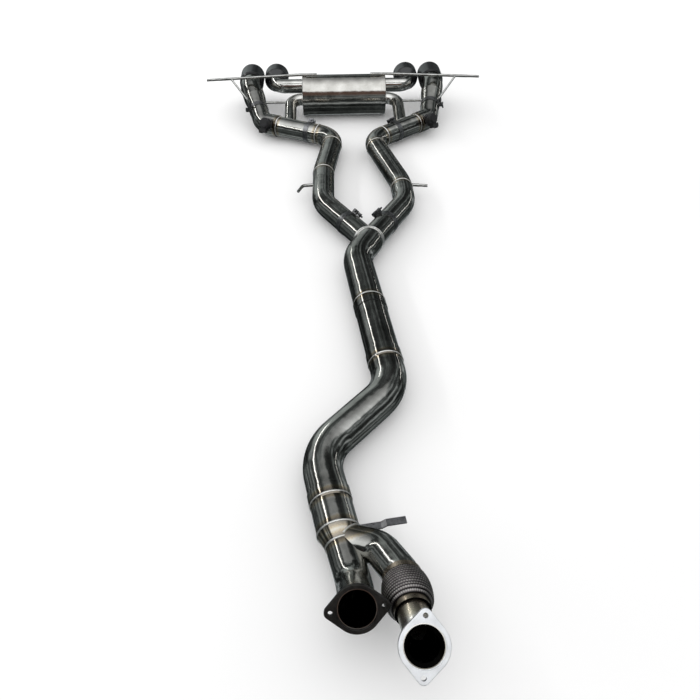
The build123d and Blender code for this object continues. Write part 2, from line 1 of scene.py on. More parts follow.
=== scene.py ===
import bmesh
import bpy
import json
from math import cos, sin, pi, radians, sqrt, tan
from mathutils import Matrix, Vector


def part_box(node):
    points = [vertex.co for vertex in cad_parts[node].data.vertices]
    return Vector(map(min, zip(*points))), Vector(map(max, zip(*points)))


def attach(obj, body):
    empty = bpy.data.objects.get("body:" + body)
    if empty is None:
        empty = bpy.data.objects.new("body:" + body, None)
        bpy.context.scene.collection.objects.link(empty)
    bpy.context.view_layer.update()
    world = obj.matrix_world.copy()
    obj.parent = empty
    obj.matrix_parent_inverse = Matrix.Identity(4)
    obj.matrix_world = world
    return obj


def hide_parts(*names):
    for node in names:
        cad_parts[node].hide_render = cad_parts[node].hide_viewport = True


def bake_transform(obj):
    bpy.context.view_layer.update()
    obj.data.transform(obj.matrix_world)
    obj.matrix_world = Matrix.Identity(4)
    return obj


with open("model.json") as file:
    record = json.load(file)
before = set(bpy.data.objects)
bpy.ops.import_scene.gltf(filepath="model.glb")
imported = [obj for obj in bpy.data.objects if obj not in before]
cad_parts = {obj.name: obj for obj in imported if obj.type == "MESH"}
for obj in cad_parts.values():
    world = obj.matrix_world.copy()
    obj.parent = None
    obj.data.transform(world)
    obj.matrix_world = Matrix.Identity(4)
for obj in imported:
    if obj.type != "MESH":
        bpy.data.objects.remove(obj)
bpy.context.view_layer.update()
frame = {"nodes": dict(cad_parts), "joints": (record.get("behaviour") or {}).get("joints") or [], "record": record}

nodes = frame["nodes"]
record = frame["record"]
mounts = {m["name"]: m for m in record["mounts"]}
print("frame loaded:", len(nodes), "nodes")

# The drawing of the system has its origin on the silencer's middle line, at the height
# of the main pipe, in millimetres. The left outer tip's mouth ties it to the frame.
drawing = {
    "tipX": -394.0,
    "tipMouthY": 159.5,
    "mainAxisHeight": 46.4,
}
tipMouth = Vector(mounts["left_outer_tip_mouth"]["pos_m"])
shift = Vector((
    tipMouth.x - drawing["tipX"] / 1000,
    tipMouth.y - drawing["tipMouthY"] / 1000,
    drawing["mainAxisHeight"] / 1000,
))


def at(x, y, z=0.0):
    return Vector((x, y, z)) / 1000 + shift


def mm(value):
    return value / 1000


def linear(hexColour):
    channels = [int(hexColour[i:i + 2], 16) / 255 for i in (1, 3, 5)]
    return tuple(c / 12.92 if c <= 0.04045 else ((c + 0.055) / 1.055) ** 2.4 for c in channels) + (1.0,)


def addNode(tree, kind, values=None, links=None, stops=(), **settings):
    # values and links go by socket, stops are a colour ramp's places and colours
    made = tree.nodes.new(kind)
    for key, value in settings.items():
        setattr(made, key, value)
    for key, value in (values or {}).items():
        made.inputs[key].default_value = value
    for key, source in (links or {}).items():
        tree.links.new(source, made.inputs[key])
    if stops:
        points = made.color_ramp.elements
        while len(points) < len(stops):
            points.new(0.5)
        for point, (position, colour) in zip(points, stops):
            point.position = position
            point.color = linear(colour)
    return made


def newMaterial(name):
    material = bpy.data.materials.new(name)
    material.use_nodes = True
    tree = material.node_tree
    return material, tree, tree.nodes["Principled BSDF"]


polish = {
    "clean": "#b3b2ad",
    "smoked": "#8c8b86",
    "roughness": (0.07, 0.2),
    "smearSize": mm(60),
    "buffing": mm(3.2),      # real buffing lines are under 0.1 mm, drawn coarser so they show
    "tintStart": mm(3),
    "tintWidth": mm(20.8),    # how far a tint runs from its weld
    "tintWobble": mm(9),
    "tintReach": mm(75),      # keeps a tint on its own tube
    "waveSize": mm(34),
    "waveDepth": mm(1.6),
}


def polishedStainless(name, welds=(), clean=None, smoked=None):
    # 304 stainless tube, mandrel bent and buffed: near mirror, with slow waves in the wall, smears
    # that blur it a little and brown to straw heat colours beside each weld
    material, tree, shader = newMaterial(name)
    spot = addNode(tree, "ShaderNodeTexCoord").outputs["Object"]
    smear = addNode(tree, "ShaderNodeTexNoise", {"Scale": 1 / polish["smearSize"], "Detail": 4.0},
                    {"Vector": spot})
    fine = addNode(tree, "ShaderNodeTexNoise", {"Scale": 1 / polish["buffing"], "Detail": 3.0},
                   {"Vector": spot})
    colour = addNode(tree, "ShaderNodeValToRGB", links={"Fac": smear.outputs["Fac"]},
                     stops=[(0.3, smoked or polish["smoked"]),
                            (0.65, clean or polish["clean"])]).outputs["Color"]
    tintEnd = polish["tintStart"] + polish["tintWidth"]
    for centre, axis in welds:
        along = addNode(tree, "ShaderNodeVectorMath", {1: tuple(axis)}, {0: spot}, operation="DOT_PRODUCT")
        away = addNode(tree, "ShaderNodeMath", {1: centre.dot(axis)}, {0: along.outputs["Value"]},
                       operation="SUBTRACT")
        near = addNode(tree, "ShaderNodeMath", links={0: away.outputs[0]}, operation="ABSOLUTE")
        local = addNode(tree, "ShaderNodeVectorMath", {1: tuple(centre)}, {0: spot}, operation="DISTANCE")
        wobble = addNode(tree, "ShaderNodeMath", {1: polish["tintWobble"]},
                         {0: fine.outputs["Fac"], 2: near.outputs[0]}, operation="MULTIPLY_ADD")
        reach = addNode(tree, "ShaderNodeMapRange", {"From Min": polish["tintStart"], "From Max": tintEnd},
                        {"Value": wobble.outputs[0]})
        here = addNode(tree, "ShaderNodeMath", {1: polish["tintReach"]}, {0: local.outputs["Value"]},
                       operation="LESS_THAN")
        tint = addNode(tree, "ShaderNodeValToRGB", links={"Fac": reach.outputs[0]},
                       stops=[(0.0, "#6f685f"), (0.35, "#8b7f6e"), (0.6, "#b3a283"),
                              (1.0, "#e8e4da")]).outputs["Color"]
        strength = addNode(tree, "ShaderNodeMapRange", {"From Min": 1.0, "From Max": 0.55, "To Max": 0.7},
                           {"Value": reach.outputs[0]})
        both = addNode(tree, "ShaderNodeMath", links={0: strength.outputs[0], 1: here.outputs[0]},
                       operation="MULTIPLY")
        mix = addNode(tree, "ShaderNodeMix", links={"Factor": both.outputs[0]}, data_type="RGBA")
        tree.links.new(colour, mix.inputs["A"])
        tree.links.new(tint, mix.inputs["B"])
        colour = mix.outputs["Result"]
    tree.links.new(colour, shader.inputs["Base Color"])
    shader.inputs["Metallic"].default_value = 1.0
    shiny, dull = polish["roughness"]
    rough = addNode(tree, "ShaderNodeMapRange", {"To Min": shiny, "To Max": dull},
                    {"Value": smear.outputs["Fac"]})
    tree.links.new(rough.outputs[0], shader.inputs["Roughness"])
    dents = addNode(tree, "ShaderNodeTexNoise", {"Scale": 1 / polish["waveSize"], "Detail": 1.5},
                    {"Vector": spot})
    wave = addNode(tree, "ShaderNodeBump", {"Strength": 0.5, "Distance": polish["waveDepth"]},
                   {"Height": dents.outputs["Fac"]})
    bump = addNode(tree, "ShaderNodeBump", {"Strength": 0.05, "Distance": mm(0.3)},
                   {"Height": fine.outputs["Fac"], "Normal": wave.outputs[0]})
    tree.links.new(bump.outputs[0], shader.inputs["Normal"])
    return material


cloudSize = mm(25)      # handling marks on bare metal


def grainedMetal(name, dark, light, roughness, grain, stretch, bumpDepth, metallic=1.0):
    # bare metal whose surface comes from how it was made: its grain is drawn out along one
    # direction where it was rolled, drawn or turned, and is coarser than the real one so it shows
    material, tree, shader = newMaterial(name)
    spot = addNode(tree, "ShaderNodeTexCoord").outputs["Object"]
    drawn = addNode(tree, "ShaderNodeMapping", {"Scale": stretch}, {"Vector": spot})
    lines = addNode(tree, "ShaderNodeTexNoise", {"Scale": 1 / grain, "Detail": 5.0},
                    {"Vector": drawn.outputs[0]})
    cloud = addNode(tree, "ShaderNodeTexNoise", {"Scale": 1 / cloudSize, "Detail": 3.0}, {"Vector": spot})
    both = addNode(tree, "ShaderNodeMath", {1: 0.5}, {0: lines.outputs["Fac"], 2: cloud.outputs["Fac"]},
                   operation="MULTIPLY_ADD")
    colour = addNode(tree, "ShaderNodeValToRGB", links={"Fac": both.outputs[0]},
                     stops=[(0.45, dark), (0.95, light)]).outputs["Color"]
    tree.links.new(colour, shader.inputs["Base Color"])
    shader.inputs["Metallic"].default_value = metallic
    rough = addNode(tree, "ShaderNodeMapRange",
                    {"From Min": 0.3, "From Max": 0.7, "To Min": roughness[0], "To Max": roughness[1]},
                    {"Value": lines.outputs["Fac"]})
    tree.links.new(rough.outputs[0], shader.inputs["Roughness"])
    bump = addNode(tree, "ShaderNodeBump", {"Strength": 0.35, "Distance": bumpDepth},
                   {"Height": lines.outputs["Fac"]})
    tree.links.new(bump.outputs[0], shader.inputs["Normal"])
    return material


# laser-cut stainless flange, blasted: pale and evenly matt
blastedFlange = grainedMetal("blasted stainless flange", dark="#d9dadb", light="#f6f7f8",
                             roughness=(0.4, 0.52), grain=mm(1.2), stretch=(1, 1, 1), bumpDepth=mm(0.15))
# flange with painted shade: dark grey for the shade it lies in, and a little oily
shadeDarkFlange = grainedMetal("flange painted dark for shade", dark="#232322", light="#4c4b49", roughness=(0.3, 0.45),
                          grain=mm(1.5), stretch=(1, 1, 1), bumpDepth=mm(0.2))
# 304 wire, 0.3 mm thick: pale and slightly warm, with a fine broken shine
braidWire = grainedMetal("woven 304 wire", dark="#7b7774", light="#b9b4b0", roughness=(0.28, 0.42),
                         grain=mm(1.6), stretch=(1, 1, 1), bumpDepth=mm(0.1))
# bright drawn rod: fine lines along its length
drawnRod = grainedMetal("bright drawn steel rod", dark="#8f8f8c", light="#c9c8c4", roughness=(0.18, 0.32),
                        grain=mm(2), stretch=(0.1, 1, 1), bumpDepth=mm(0.08))
# pressed clamp strip, zinc plated: soft grey shine
zincPlate = grainedMetal("zinc plated steel", dark="#4f4f50", light="#8d8d8e", roughness=(0.25, 0.4),
                         grain=mm(6), stretch=(1, 1, 1), bumpDepth=mm(0.1))
# cold rolled sheet for the inner pieces
millSheet = grainedMetal("mill finish stainless sheet", dark="#6d6c6a", light="#9a9996",
                         roughness=(0.3, 0.45), grain=mm(3), stretch=(0.2, 1, 1), bumpDepth=mm(0.1))
# turned and ground valve steel
groundSteel = grainedMetal("ground valve steel", dark="#77716a", light="#a39c92", roughness=(0.22, 0.36),
                           grain=mm(1.5), stretch=(1, 1, 0.2), bumpDepth=mm(0.08))
# sintered bronze bush, dull and warm
sinteredBronze = grainedMetal("sintered bronze", dark="#7a5632", light="#b08350", roughness=(0.35, 0.5),
                              grain=mm(0.8), stretch=(1, 1, 1), bumpDepth=mm(0.1))
# TIG bead: bright silver ripples, barely straw
weldMetal = grainedMetal("bright TIG weld bead", dark="#d3d0ca", light="#fbfaf7", roughness=(0.3, 0.45),
                         grain=mm(2.5), stretch=(1, 1, 1), bumpDepth=mm(0.15))
# painted shade: a black ring at a slip joint's mouth, for the shade in the gap between the tubes
slipGapShade = grainedMetal("black painted slip gap shade", dark="#060606", light="#161515", roughness=(0.6, 0.8),
                          grain=mm(2), stretch=(1, 1, 1), bumpDepth=mm(0.2), metallic=0.0)


stub = {
    "driftSize": mm(14),
    "paleFrom": mm(10),         # from the mouth
    "paleTo": mm(2),            # past the joint's end
    # painted shade for the stub's inside, near black
    "insideShade": "#0d0c0b",
    "insideShadeFacing": -0.002,       # a wall counts as inside when it faces the axis by this much
    "roughness": (0.18, 0.36),
}


def heatedStub():
    # thin stainless stub: dulled at its mouth, pale in the middle, straw beside the joint's weld
    material, tree, shader = newMaterial("straw tinted stainless stub")
    spot = addNode(tree, "ShaderNodeTexCoord").outputs["Object"]
    low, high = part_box("flex_stub_pipe")
    down = addNode(tree, "ShaderNodeSeparateXYZ", links={"Vector": spot})
    noise = addNode(tree, "ShaderNodeTexNoise", {"Scale": 1 / stub["driftSize"], "Detail": 3.0},
                    {"Vector": spot})
    drift = addNode(tree, "ShaderNodeMath", {1: stub["driftSize"]},
                    {0: noise.outputs["Fac"], 2: down.outputs["Y"]}, operation="MULTIPLY_ADD")
    paleFrom, paleTo = low.y + stub["paleFrom"], high.y + stub["paleTo"]
    share = addNode(tree, "ShaderNodeMapRange", {"From Min": paleFrom, "From Max": paleTo},
                    {"Value": drift.outputs[0]})
    colour = addNode(tree, "ShaderNodeValToRGB", links={"Fac": share.outputs[0]},
                     stops=[(0.0, "#8f8a80"), (0.3, "#d2cec5"), (0.55, "#efede8"), (0.72, "#cdc4b2"),
                            (0.88, "#968a7b")]).outputs["Color"]
    # painted shade: the wall that faces the pipe's own axis is painted near black for the shade inside the pipe
    mount = mounts["flex_inlet_bolts"]
    face, out = Vector(mount["pos_m"]), Vector(mount["axis"])
    offset = addNode(tree, "ShaderNodeVectorMath", {1: tuple(face)}, {0: spot}, operation="SUBTRACT")
    height = addNode(tree, "ShaderNodeVectorMath", {1: tuple(out)}, {0: offset.outputs[0]},
                     operation="DOT_PRODUCT")
    along = addNode(tree, "ShaderNodeVectorMath", {0: tuple(out)}, {"Scale": height.outputs["Value"]},
                    operation="SCALE")
    spoke = addNode(tree, "ShaderNodeVectorMath", links={0: offset.outputs[0], 1: along.outputs[0]},
                    operation="SUBTRACT")
    normal = addNode(tree, "ShaderNodeNewGeometry").outputs["Normal"]
    facing = addNode(tree, "ShaderNodeVectorMath", links={0: spoke.outputs[0], 1: normal},
                     operation="DOT_PRODUCT")
    inside = addNode(tree, "ShaderNodeMath", {1: stub["insideShadeFacing"]}, {0: facing.outputs["Value"]},
                     operation="LESS_THAN")
    paintedInsideShade = addNode(tree, "ShaderNodeMix", {"B": linear(stub["insideShade"])}, {"Factor": inside.outputs[0]},
                    data_type="RGBA")
    tree.links.new(colour, paintedInsideShade.inputs["A"])
    tree.links.new(paintedInsideShade.outputs["Result"], shader.inputs["Base Color"])
    shader.inputs["Metallic"].default_value = 1.0
    shiny, dull = stub["roughness"]
    rough = addNode(tree, "ShaderNodeMapRange", {"To Min": shiny, "To Max": dull},
                    {"Value": noise.outputs["Fac"]})
    tree.links.new(rough.outputs[0], shader.inputs["Roughness"])
    return material


enamelLook = {
    "dark": "#0a0a0b",
    "dusty": "#1b1b1d",
    "roughness": (0.22, 0.42),
    "peelSize": mm(4),
    "dustSize": mm(30),
    "coat": 0.2,
    "coatRoughness": 0.12,
}


def blackEnamel():
    # stoved gloss black over stainless: deep black under a clear, slightly orange-peeled surface
    material, tree, shader = newMaterial("gloss black enamel")
    spot = addNode(tree, "ShaderNodeTexCoord").outputs["Object"]
    peel = addNode(tree, "ShaderNodeTexNoise", {"Scale": 1 / enamelLook["peelSize"], "Detail": 2.0},
                   {"Vector": spot})
    dust = addNode(tree, "ShaderNodeTexNoise", {"Scale": 1 / enamelLook["dustSize"], "Detail": 5.0},
                   {"Vector": spot})
    colour = addNode(tree, "ShaderNodeValToRGB", links={"Fac": dust.outputs["Fac"]},
                     stops=[(0.35, enamelLook["dark"]), (0.75, enamelLook["dusty"])]).outputs["Color"]
    tree.links.new(colour, shader.inputs["Base Color"])
    shiny, dull = enamelLook["roughness"]
    rough = addNode(tree, "ShaderNodeMapRange", {"To Min": shiny, "To Max": dull},
                    {"Value": dust.outputs["Fac"]})
    tree.links.new(rough.outputs[0], shader.inputs["Roughness"])
    shader.inputs["IOR"].default_value = 1.5
    shader.inputs["Coat Weight"].default_value = enamelLook["coat"]
    shader.inputs["Coat Roughness"].default_value = enamelLook["coatRoughness"]
    bump = addNode(tree, "ShaderNodeBump", {"Strength": 0.12, "Distance": mm(0.2)},
                   {"Height": peel.outputs["Fac"]})
    tree.links.new(bump.outputs[0], shader.inputs["Normal"])
    return material


nylonLook = {
    "dark": "#0b0b0c",
    "light": "#1d1d1f",
    "roughness": (0.42, 0.6),
    "sparkGrain": mm(1.1),
    "flowSize": mm(15),
}


def mouldedNylon():
    # glass-filled nylon: near black, spark-eroded grain that scatters the shine
    material, tree, shader = newMaterial("moulded black nylon")
    spot = addNode(tree, "ShaderNodeTexCoord").outputs["Object"]
    grain = addNode(tree, "ShaderNodeTexVoronoi", {"Scale": 1 / nylonLook["sparkGrain"]}, {"Vector": spot})
    cloud = addNode(tree, "ShaderNodeTexNoise", {"Scale": 1 / nylonLook["flowSize"], "Detail": 4.0},
                    {"Vector": spot})
    colour = addNode(tree, "ShaderNodeValToRGB", links={"Fac": cloud.outputs["Fac"]},
                     stops=[(0.3, nylonLook["dark"]), (0.7, nylonLook["light"])]).outputs["Color"]
    tree.links.new(colour, shader.inputs["Base Color"])
    shiny, dull = nylonLook["roughness"]
    rough = addNode(tree, "ShaderNodeMapRange", {"To Min": shiny, "To Max": dull},
                    {"Value": cloud.outputs["Fac"]})
    tree.links.new(rough.outputs[0], shader.inputs["Roughness"])
    shader.inputs["IOR"].default_value = 1.53
    bump = addNode(tree, "ShaderNodeBump", {"Strength": 0.3, "Distance": mm(0.12)},
                   {"Height": grain.outputs["Distance"]})
    tree.links.new(bump.outputs[0], shader.inputs["Normal"])
    return material


def basaltWool():
    # loose mineral wool: pale brown fibres with no shine, drawn 2 mm thick so that they show
    material, tree, shader = newMaterial("basalt wool")
    spot = addNode(tree, "ShaderNodeTexCoord").outputs["Object"]
    fibre = addNode(tree, "ShaderNodeTexNoise", {"Scale": 1 / mm(2), "Detail": 8.0, "Distortion": 2.0},
                    {"Vector": spot})
    colour = addNode(tree, "ShaderNodeValToRGB", links={"Fac": fibre.outputs["Fac"]},
                     stops=[(0.3, "#5d5342"), (0.7, "#a39679")]).outputs["Color"]
    tree.links.new(colour, shader.inputs["Base Color"])
    shader.inputs["Roughness"].default_value = 0.95
    bump = addNode(tree, "ShaderNodeBump", {"Strength": 0.8, "Distance": mm(1)},
                   {"Height": fibre.outputs["Fac"]})
    tree.links.new(bump.outputs[0], shader.inputs["Normal"])
    return material


def meshObject(name, verts, faces, material, body, slot):
    mesh = bpy.data.meshes.new(name)
    mesh.from_pydata([tuple(v) for v in verts], [], faces)
    mesh.validate()
    mesh.shade_smooth()
    piece = bpy.data.objects.new(name, mesh)
    bpy.context.scene.collection.objects.link(piece)
    mesh.materials.append(material)
    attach(piece, body)


def crossFrame(axis):
    first = axis.orthogonal().normalized()
    return first, axis.cross(first).normalized()


def ringPoints(centre, axis, radius, count):
    first, second = crossFrame(axis)
    turns = [2 * pi * i / count for i in range(count)]
    return [centre + (first * cos(t) + second * sin(t)) * radius for t in turns]


bead = {
    "radius": mm(2.4),
    "ripple": mm(3.0),       # real ripples are about 2 mm apart, drawn wider so they show
    "rippleDepth": 0.22,
    "lift": mm(0.1),         # over the tube's wall
    "flatness": 0.62,        # its height against its width
    "sides": 8,
    "steps": 4,              # sections along each ripple
}


def beadSize(i):
    # a bead swells and narrows along its ripples
    swell = abs(sin(pi * i / bead["steps"]))
    return bead["radius"] * (1 - bead["rippleDepth"] + bead["rippleDepth"] * swell)


def beadMesh(points):
    # an open run of bead, capped at both ends
    count, sides = len(points), bead["sides"]
    verts, faces = [], []
    for i, point in enumerate(points):
        before = points[max(i - 1, 0)]
        after = points[min(i + 1, count - 1)]
        first, second = crossFrame((after - before).normalized())
        size = beadSize(i)
        for k in range(sides):
            turn = 2 * pi * k / sides
            verts.append(point + (first * cos(turn) + second * sin(turn)) * size)
    for i in range(count - 1):
        for k in range(sides):
            k2 = (k + 1) % sides
            faces.append((i * sides + k, i * sides + k2, (i + 1) * sides + k2, (i + 1) * sides + k))
    faces.append(tuple(range(sides))[::-1])
    faces.append(tuple((count - 1) * sides + k for k in range(sides)))
    return verts, faces


def joinMeshes(parts):
    verts, faces = [], []
    for someVerts, someFaces in parts:
        start = len(verts)
        verts += someVerts
        faces += [tuple(start + i for i in face) for face in someFaces]
    return verts, faces


def weldRing(centre, axis, tubeRadius):
    # a ring bead is laid by steps of one ripple, so the ripples close on themselves
    ripples = round(2 * pi * tubeRadius / bead["ripple"])
    points = ringPoints(centre, axis, tubeRadius + bead["lift"], ripples * bead["steps"])
    return steadyRing(points, centre, axis)


def steadyRing(points, centre, axis, smoothRadius=None):
    # sections stay in planes through the axis, so the bead doesn't twist
    count, sides = len(points), bead["sides"]
    verts, faces = [], []
    for i, point in enumerate(points):
        out = point - centre
        out = (out - axis * out.dot(axis)).normalized()
        size = smoothRadius or beadSize(i)
        for k in range(sides):
            turn = 2 * pi * k / sides
            verts.append(point + (out * cos(turn) * bead["flatness"] + axis * sin(turn)) * size)
    for i in range(count):
        for k in range(sides):
            k2, j = (k + 1) % sides, (i + 1) % count
            faces.append((i * sides + k, i * sides + k2, j * sides + k2, j * sides + k))
    return verts, faces


def saddleRing(start, run, tubeRadius, trunkAxis, trunkRadius):
    # weld where a smaller tube stands on a larger one whose axis passes through the same point
    first, second = crossFrame(run)
    ripples = round(2 * pi * tubeRadius / bead["ripple"])
    points = []
    for i in range(ripples * bead["steps"]):
        turn = 2 * pi * i / (ripples * bead["steps"])
        foot = (first * cos(turn) + second * sin(turn)) * tubeRadius
        flatFoot = foot - trunkAxis * foot.dot(trunkAxis)
        flatRun = run - trunkAxis * run.dot(trunkAxis)
        a = flatRun.dot(flatRun)
        b = 2 * flatFoot.dot(flatRun)
        c = flatFoot.dot(flatFoot) - trunkRadius ** 2
        root = sqrt(max(b * b - 4 * a * c, 0))
        far = (root - b) / (2 * a)
        points.append(start + foot + run * far)
    return steadyRing(points, start, run)


pipe = {
    "mainRadius": 44.5,
    "branchRadius": 38.0,
    "inletRadius": 35.0,
    "collectorEnd": (-78.6, -2119.0),
    "collectorEntry": (-71.7, -2148.2),
    "entryAxis": (-0.2315, 0.9728, 0.0),
    "lowBend": (-119.0, -1912.0),
    "highBend": (65.0, -1712.0),
    "trunkKink": (2.0, -1145.0),
    "yCentre": (45.0, -1060.0),
    "cups": [("low", -2048.0, -2021.0), ("high", -1624.0, -1590.0), ("high", -1377.0, -1412.0)],
    "cupBeadRadius": 45.2,
    "slipShadeRadius": 45.1,
    "yAngle": 30.0,
    "yRing": 30.0,              # from the splitter's centre
    "firstBend": 300.0,
    "cornerBend": 95.0,
    "valveReach": 76.0,         # from the corner back to the valve body's end
}
branch = {
    "left": {"sign": -1, "first": 284.0, "points": [(-93, -590), (-48, -312)], "corner": (-336, -168)},
    "right": {"sign": 1, "first": 272.0, "points": [(180, -690), (98, -345)], "corner": (345, -150)},
}


def flat(pair, z=0.0):
    return at(pair[0], pair[1], z)


def between(a, b, y):
    start, end = flat(a), flat(b)
    target = at(0, y).y
    return start + (end - start) * ((target - start.y) / (end.y - start.y))


def bendEnds(a, b, c, radius):
    # where a bend of this radius starts and ends at the corner b
    into, out = (b - a).normalized(), (c - b).normalized()
    reach = mm(radius) * tan(into.angle(out) / 2)
    return [(b - into * reach, into), (b + out * reach, out)]


collectorEnd, lowBend = flat(pipe["collectorEnd"]), flat(pipe["lowBend"])
highBend, trunkKink, yCentre = flat(pipe["highBend"]), flat(pipe["trunkKink"]), flat(pipe["yCentre"])
frontAxis = (lowBend - collectorEnd).normalized()
trunkAxis = (trunkKink - highBend).normalized()

entry, entryAxis = flat(pipe["collectorEntry"]), Vector(pipe["entryAxis"])
mainRings = [(collectorEnd, frontAxis, pipe["mainRadius"])]
slipShadeRings = []
for line, root, mouth in pipe["cups"]:
    ends = (pipe["collectorEnd"], pipe["lowBend"]) if line == "low" else (pipe["highBend"], pipe["trunkKink"])
    axis = frontAxis if line == "low" else trunkAxis
    mainRings.append((between(*ends, root), axis, pipe["cupBeadRadius"]))
    slipShadeRings.append((between(*ends, mouth), axis, pipe["slipShadeRadius"]))

branchRings = {}
for side, line in branch.items():
    lean = radians(pipe["yAngle"]) * line["sign"]
    out = Vector((sin(lean), cos(lean), 0))
    first = yCentre + out * mm(line["first"])
    second, third, corner = flat(line["points"][0]), flat(line["points"][1]), flat(line["corner"])
    legAxis = (corner - third).normalized()
    rings = [(yCentre + out * mm(pipe["yRing"]), out)]
    rings += bendEnds(first, second, third, pipe["firstBend"])[:1]
    rings += bendEnds(second, third, corner, pipe["cornerBend"])
    branchRings[side] = rings
    line["legAxis"] = legAxis
    line["cornerPoint"] = corner
    line["valveEnd"] = corner - legAxis * mm(pipe["valveReach"])

print("drawing placed")

weldSpots = {
    "merge_collector": [(collectorEnd, frontAxis), (entry, entryAxis)],
    "plain_inlet_tube": [(entry, entryAxis)],
    "front_main_pipe": [(collectorEnd, frontAxis), (mainRings[1][0], frontAxis)],
    "s_bend_pipe": [(mainRings[1][0], frontAxis), (mainRings[2][0], trunkAxis)],
    "rear_main_pipe": [(mainRings[2][0], trunkAxis), (mainRings[3][0], trunkAxis)],
    "y_splitter": [(mainRings[3][0], trunkAxis)],
}
for side in branch:
    weldSpots[f"{side}_branch_pipe"] = branchRings[side][1:]
    weldSpots[f"{side}_leg_pipe"] = [(branch[side]["valveEnd"], branch[side]["legAxis"])]
    weldSpots[f"{side}_valve_body"] = [(branch[side]["valveEnd"], branch[side]["legAxis"])]

plainPolish = polishedStainless("buffed 304 stainless tube")
# painted light: the bends and the silencer are lighter copies of the same buffed stainless, painted brighter for
# the light they catch
litBendPolish = polishedStainless("buffed 304 bend painted lighter as light", clean="#d4d2cd", smoked="#b0aea9")
litSilencerPolish = polishedStainless("buffed 304 silencer sheet painted lighter as light", clean="#c3c0ba", smoked="#a4a19b")
enamel, nylon = blackEnamel(), mouldedNylon()

finishes = {
    blastedFlange: ["flex_inlet_flange"],
    shadeDarkFlange: ["plain_inlet_flange"],
    zincPlate: ["y_clamp_bands", "leg_clamp_bands", "outlet_clamp_bands", "clamp_bolts", "motor_bolts",
                "left_motor_plate", "right_motor_plate", "collector_strap"],
    braidWire: ["flex_braid"],
    heatedStub(): ["flex_stub_pipe", "flex_front_collar", "flex_rear_collar"],
    millSheet: ["flex_bellows", "flex_liner", "silencer_core_tubes", "silencer_baffles"],
    enamel: ["left_outer_tip", "left_inner_tip", "right_outer_tip", "right_inner_tip"],
    drawnRod: ["left_hanger_rod", "right_hanger_rod", "left_branch_hanger", "right_branch_hanger", "tie_rods",
               "brace_rods"],
    nylon: ["left_valve_motor", "right_valve_motor"],
    groundSteel: ["left_valve_shaft", "right_valve_shaft", "left_valve_flap", "right_valve_flap",
                  "left_flap_screws", "right_flap_screws"],
    sinteredBronze: ["valve_bushes"],
    basaltWool(): ["silencer_packing"],
    litSilencerPolish: ["silencer_shell", "left_silencer_cap", "right_silencer_cap"],
    litBendPolish: ["left_outlet_elbow", "right_outlet_elbow", "left_side_elbow", "right_side_elbow"],
}
chosen = {name: material for material, names in finishes.items() for name in names}
for name, piece in nodes.items():
    if name in weldSpots:
        finish = polishedStainless(f"buffed tube with weld tint {name}", weldSpots[name])
    else:
        finish = chosen.get(name, plainPolish)
    for slotIndex in range(len(piece.material_slots)):
        piece.material_slots[slotIndex].material = finish
print("materials set")

weldParts = [weldRing(centre, axis, mm(radius)) for centre, axis, radius in mainRings]
weldParts.append(weldRing(entry, entryAxis, mm(pipe["inletRadius"])))
meshObject("main_pipe_weld_beads", *joinMeshes(weldParts), weldMetal, "exhaust", "polished_stainless")

# painted shade: a thin black ring laid round each slip joint's mouth
slipShadeRing = {
    "radius": mm(1.3),
    "sections": 160,
}
slipShadeParts = []
for centre, axis, radius in slipShadeRings:
    points = ringPoints(centre, axis, mm(radius), slipShadeRing["sections"])
    slipShadeParts.append(steadyRing(points, centre, axis, slipShadeRing["radius"]))
meshObject("slip_joint_painted_shade", *joinMeshes(slipShadeParts), slipGapShade, "exhaust", "clamp_steel")

sideElbow = {
    "foot": (224.0, -24.0, 36.6),
    "radius": 24.0,
    "skin": 0.3,             # keeps the bead proud of both tubes
}
for side, rings in branchRings.items():
    line = branch[side]
    parts = [weldRing(centre, axis, mm(pipe["branchRadius"])) for centre, axis in rings]
    parts.append(weldRing(line["valveEnd"], line["legAxis"], mm(pipe["branchRadius"])))
    meshObject(f"{side}_branch_weld_beads", *joinMeshes(parts), weldMetal, "exhaust", "polished_stainless")
    sideX, sideY, sideZ = sideElbow["foot"]
    sideX *= line["sign"]
    third = flat(line["points"][1])
    share = (at(sideX, 0).x - third.x) / (line["cornerPoint"].x - third.x)
    foot = third + (line["cornerPoint"] - third) * share
    towards = (at(sideX, sideY, sideZ) - foot).normalized()
    elbowRadius = mm(sideElbow["radius"] + sideElbow["skin"])
    legRadius = mm(pipe["branchRadius"] + sideElbow["skin"])
    saddle = saddleRing(foot, towards, elbowRadius, line["legAxis"], legRadius)
    meshObject(f"{side}_side_elbow_weld", *saddle, weldMetal, "exhaust", "polished_stainless")


crotch = {
    "bodies": ["merge_collector", "y_splitter"],
    "weldWithin": mm(0.02),
    "leastTurn": radians(22),
    "shortest": mm(40),
}


def creaseLines(name, leastTurn):
    # the inside corners of a welded body's mesh, joined end to end into lines
    work = bmesh.new()
    work.from_mesh(nodes[name].data)
    bmesh.ops.remove_doubles(work, verts=work.verts, dist=crotch["weldWithin"])
    joined = {}
    for edge in work.edges:
        if len(edge.link_faces) != 2:
            continue
        one, two = edge.link_faces
        away = two.calc_center_median() - one.calc_center_median()
        if away.dot(one.normal) <= 0 or one.normal.angle(two.normal, 0.0) < leastTurn:
            continue
        a, b = edge.verts
        joined.setdefault(a, []).append(b)
        joined.setdefault(b, []).append(a)
    lines = []
    left = dict.fromkeys(joined)      # in the mesh's own order, so that each run starts alike
    while left:
        start = next((v for v in left if len(joined[v]) == 1), None) or next(iter(left))
        line = [start]
        del left[start]
        while True:
            onward = [v for v in joined[line[-1]] if v in left]
            if not onward:
                break
            line.append(onward[0])
            del left[onward[0]]
        lines.append([v.co.copy() for v in line])
    work.free()
    return lines


